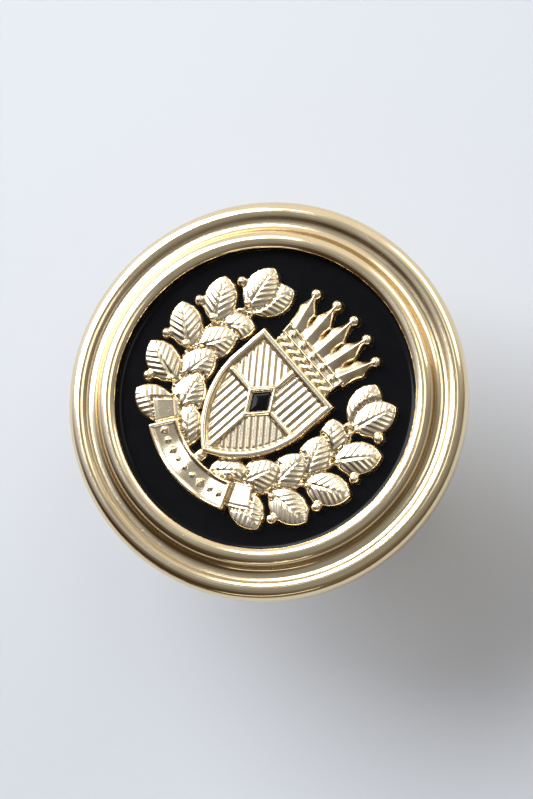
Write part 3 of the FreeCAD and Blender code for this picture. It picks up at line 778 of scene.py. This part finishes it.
def relief_mesh(name, relief, base):
    """One closed mesh: the relief's top, a flat underside, and a wall round every outline."""
    cells = relief.height > 0.001 - SINK
    kept = cells[:-1, :-1] | cells[1:, :-1] | cells[:-1, 1:] | cells[1:, 1:]
    kept = np.pad(kept, 1)
    while True:
        a, b, c, d = kept[:-1, :-1], kept[1:, 1:], kept[1:, :-1], kept[:-1, 1:]
        cross = (a & b & ~c & ~d) | (c & d & ~a & ~b)
        if not cross.any():
            break
        i, j = np.nonzero(cross)
        kept[i, j] = kept[i + 1, j + 1] = kept[i + 1, j] = kept[i, j + 1] = True
    kept = kept[1:-1, 1:-1]
    rows, columns = np.nonzero(kept)
    number = np.full(relief.x.shape, -1)
    for di, dj in ((0, 0), (1, 0), (1, 1), (0, 1)):
        number[rows + di, columns + dj] = 0
    used = number >= 0
    count = int(used.sum())
    number[used] = np.arange(count)
    top = np.stack([relief.x[used] * MM, relief.y[used] * MM, base + relief.height[used] * MM], 1)
    bottom = top.copy()
    bottom[:, 2] = base - (SINK + 0.1) * MM
    corners = [number[rows + di, columns + dj] for di, dj in ((0, 0), (1, 0), (1, 1), (0, 1))]
    upper = np.stack(corners, 1)
    faces = [upper, upper[:, ::-1] + count]
    padded = np.pad(kept, 1)
    for side, (di, dj) in enumerate(((0, -1), (1, 0), (0, 1), (-1, 0))):
        open_side = ~padded[rows + 1 + di, columns + 1 + dj]
        start, end = upper[open_side, side], upper[open_side, (side + 1) % 4]
        faces.append(np.stack([end, start, start + count, end + count], 1))
    vertices = np.concatenate([top, bottom])
    return new_object(name, vertices.tolist(), np.concatenate(faces).tolist())


def make_crest(material):
    relief = Relief(7.0)
    for side in (1, -1):
        branch(relief, side)
    ribbon(relief)
    torse(relief)
    coronet(relief)
    shield(relief)
    piece = relief_mesh("crest_relief", relief, high("enamel"))
    dress(piece, material, "head", "crest_gilt", "crest")


def make_inlay(material):
    """The shield's lozenge: a small cushion of enamel."""
    low_corner, high_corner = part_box("crest_inlay")
    centre_y = (low_corner.y + high_corner.y) / 2
    half_width, half_height = high_corner.x, (high_corner.y - low_corner.y) / 2
    side, layers = 24, 8
    vertices, faces = [(0.0, centre_y, low_corner.z)], []
    rings = []
    for layer in range(layers + 1):
        share = 1.0 if layer < 2 else math.cos((layer - 1) / layers * math.pi / 2)
        lift = 0.0 if layer == 0 else 0.62 + 0.38 * math.sin(max(0, layer - 1) / layers * math.pi / 2)
        height = low_corner.z + (high_corner.z - low_corner.z) * lift
        rings.append(len(vertices))
        for step in range(4 * side):
            corner, along = divmod(step, side)
            ends = ((1, 0), (0, 1), (-1, 0), (0, -1), (1, 0))
            point = Vector(ends[corner]).lerp(Vector(ends[corner + 1]), along / side)
            vertices.append((point.x * half_width * share, centre_y + point.y * half_height * share, height))
    top = len(vertices)
    vertices.append((0.0, centre_y, high_corner.z))
    for step in range(4 * side):
        after = (step + 1) % (4 * side)
        faces.append((0, rings[0] + after, rings[0] + step))
        for first, second in zip(rings, rings[1:]):
            faces.append((first + step, first + after, second + after, second + step))
        faces.append((rings[-1] + step, rings[-1] + after, top))
    piece = new_object("shield_lozenge", vertices, faces)
    dress(piece, material, "head", "black_enamel", "crest_inlay")


# ---- clutch ----


def make_clutch_plate(material):
    """A dished washer with a rolled edge, and the collar that is closed over the barrel's foot."""
    outer, top, bottom = radius_of("clutch_plate"), high("clutch_plate"), low("clutch_plate")
    guide, sheet, roll = 0.65 * MM, 0.45 * MM, 0.55 * MM
    collar, bore = 3.95 * MM, 3.6 * MM
    lip, lip_top = radius_of("clutch_barrel") - 0.3 * MM, bottom + 0.3 * MM
    inner, edge_foot = outer - 0.35 * MM, top - 0.9 * MM
    profile = rounded([
        (guide, top - 0.25 * MM, EDGE / 2), (1.0 * MM, top, 2 * EDGE), (outer, top, 0.97 * roll),
        (outer, edge_foot, 2 * EDGE), (inner, edge_foot, 2 * EDGE),
        (inner, top - sheet, 3 * EDGE), (collar, top - sheet, 2 * EDGE), (collar, bottom, 4 * EDGE),
        (lip, bottom, EDGE), (lip, lip_top, EDGE), (bore, lip_top),
        (bore, top - sheet), (guide, top - sheet, EDGE / 2),
    ], closed=True, steps=10)
    dress(lathe("clutch_washer", profile, MEDIUM), material, "base", "clutch_plating", "clutch_plate")


def make_barrel(material):
    """The housing: a flanged foot, a turned line at each end, and a rolled-in end."""
    foot, top, bottom = radius_of("clutch_barrel"), high("clutch_barrel"), low("clutch_barrel")
    wall, bore, hole = foot - 0.4 * MM, radius_of("taper_cup"), 1.4 * MM
    groove, depth = 0.16 * MM, 0.07 * MM
    flange, end_wall = top - 0.45 * MM, bottom + 0.35 * MM
    corners = [(bore, top), (foot, top, EDGE), (foot, flange, EDGE), (wall, flange, EDGE / 2)]
    for height in (top - 1.3 * MM, bottom + 0.75 * MM):
        corners += [
            (wall, height + groove, EDGE / 2), (wall - depth, height + groove / 2, EDGE / 2),
            (wall - depth, height - groove / 2, EDGE / 2), (wall, height - groove, EDGE / 2),
        ]
    corners += [
        (wall, bottom, 4 * EDGE), (hole, bottom, EDGE), (hole, end_wall, EDGE / 2), (bore, end_wall),
    ]
    piece = lathe("barrel_shell", rounded(corners, closed=True), MEDIUM)
    dress(piece, material, "housing", "clutch_plating", "clutch_barrel")


def make_knob(material):
    """A fluted cap with a plain turned end."""
    outer, top, bottom = radius_of("knob"), high("knob"), low("knob")
    stem, bore, bevel = 1.3 * MM, 0.62 * MM, 0.25 * MM
    well, web, dish = top - 1.0 * MM, bottom + 0.35 * MM, bottom + 0.05 * MM
    flutes, flute, offset = 20, 0.24 * MM, 0.10 * MM

    def fluted(radius, angle):
        step = 2 * math.pi / flutes
        across = outer * ((angle + step / 2) % step - step / 2)
        if abs(across) >= flute:
            return radius
        return min(radius, outer + offset - math.sqrt(flute**2 - across**2))

    profile = rounded([
        (0.0, web), (bore, web), (bore, well),
        (stem, well), (stem, top, EDGE), (outer - bevel, top, EDGE),
        (outer, top - bevel, EDGE), (outer, top - 1.2 * MM), (outer, bottom + bevel, EDGE),
        (outer - bevel, bottom, 2 * EDGE), (1.6 * MM, bottom, EDGE), (1.5 * MM, dish, EDGE),
        (0.0, dish),
    ], closed=False)
    piece = lathe("knob_cap", profile, 20 * flutes, closed=False, warp=fluted)
    dress(piece, material, "plunger", "clutch_plating", "knob")


def make_spring(material):
    """A compression spring with closed ends; this script draws it at one length only, though it shortens as
    the knob is pulled.
    """
    low_corner, high_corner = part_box("clutch_spring")
    wire, turns, closed_turns = 0.11 * MM, 5.5, 0.75
    closed_pitch = 2.05 * wire
    coil = high_corner.y - wire
    travel = high_corner.z - low_corner.z - 2 * wire
    around, per_turn = 12, 48
    steps = int(turns * per_turn)
    active = turns - 2 * closed_turns
    vertices, faces = [], []
    for step in range(steps + 1):
        turn = step / per_turn
        share = min(max((turn - closed_turns) / active, 0.0), 1.0)
        wound = min(turn, closed_turns) + max(0.0, turn - turns + closed_turns)
        climb = travel - 2 * closed_pitch * closed_turns
        height = high_corner.z - wire - climb * share - closed_pitch * wound
        angle = 2 * math.pi * turn
        for part in range(around):
            roll = 2 * math.pi * part / around
            reach, lift = coil + wire * math.cos(roll), wire * math.sin(roll)
            vertices.append((reach * math.cos(angle), reach * math.sin(angle), height + lift))
    for step in range(steps):
        for part in range(around):
            after = (part + 1) % around
            here, there = step * around, (step + 1) * around
            faces.append((here + part, here + after, there + after, there + part))
    faces.append(tuple(range(around)))
    faces.append(tuple(steps * around + part for part in range(around)))
    piece = new_object("spring_coil", vertices, faces)
    dress(piece, material, "housing", "spring_steel", "clutch_spring")
    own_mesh(piece)


def make_floor():
    """The floor under the knob, which stays under it as the clutch moves."""
    half, level = 0.6, CAD_BOX[0][2]
    corners = [(-half, -half, level), (half, -half, level), (half, half, level), (-half, half, level)]
    mesh = bpy.data.meshes.new("floor")
    mesh.from_pydata(corners, [], [(0, 1, 2, 3)])
    floor = bpy.data.objects.new("floor", mesh)
    bpy.context.scene.collection.objects.link(floor)
    floor.data.materials.append(floor_paint())
    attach(floor, "plunger")


def dress_hidden_nodes():
    """The CAD pieces that stay as they are get their finishes."""
    brass = plated("plain_brass", BRASS, (0.62, 0.44, 0.20, 1), polish=(0.22, 0.40))
    ground = steel("ground_steel")
    finishes = {
        "field_plate": brass, "ball_cage": brass, "packing_disc": fibre_board(),
        "taper_cup": ground, "spring_washer": ground,
        "lock_ball_1": ground, "lock_ball_2": ground, "lock_ball_3": ground,
    }
    for node, material in finishes.items():
        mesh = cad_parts[node].data
        mesh.materials.clear()
        mesh.materials.append(material)


make_camera()
make_lights()
make_world()
make_floor()
window = radius_of("enamel")
# The rim's painted dark rings where bead meets cove and cove meets bead: tarnish and painted shade.
rim_patina_and_shade_grooves = ((window + BEAD_REACH, 0.16 * MM), (window + COVE_REACH, 0.22 * MM))
make_rim(plated("gilt_rim", GOLD, PALE_GOLD, turned=0.0000016, grooves=rim_patina_and_shade_grooves))
enamel = black_enamel()
make_enamel(enamel)
make_crest(crest_gold())
make_inlay(enamel)
make_back(plated("gilt_back", GOLD, BRASS, turned=0.000005, polish=(0.24, 0.38)))
make_pad(steel("nickel_pad", (0.70, 0.67, 0.62, 1)))
make_solder(soft_solder())
make_post(steel("post_steel"))
clutch_gold = plated("gilt_clutch", GOLD, PALE_GOLD)
make_clutch_plate(clutch_gold)
make_barrel(clutch_gold)
make_knob(clutch_gold)
make_spring(steel("spring_wire", (0.50, 0.50, 0.50, 1), lengthwise=True))
dress_hidden_nodes()
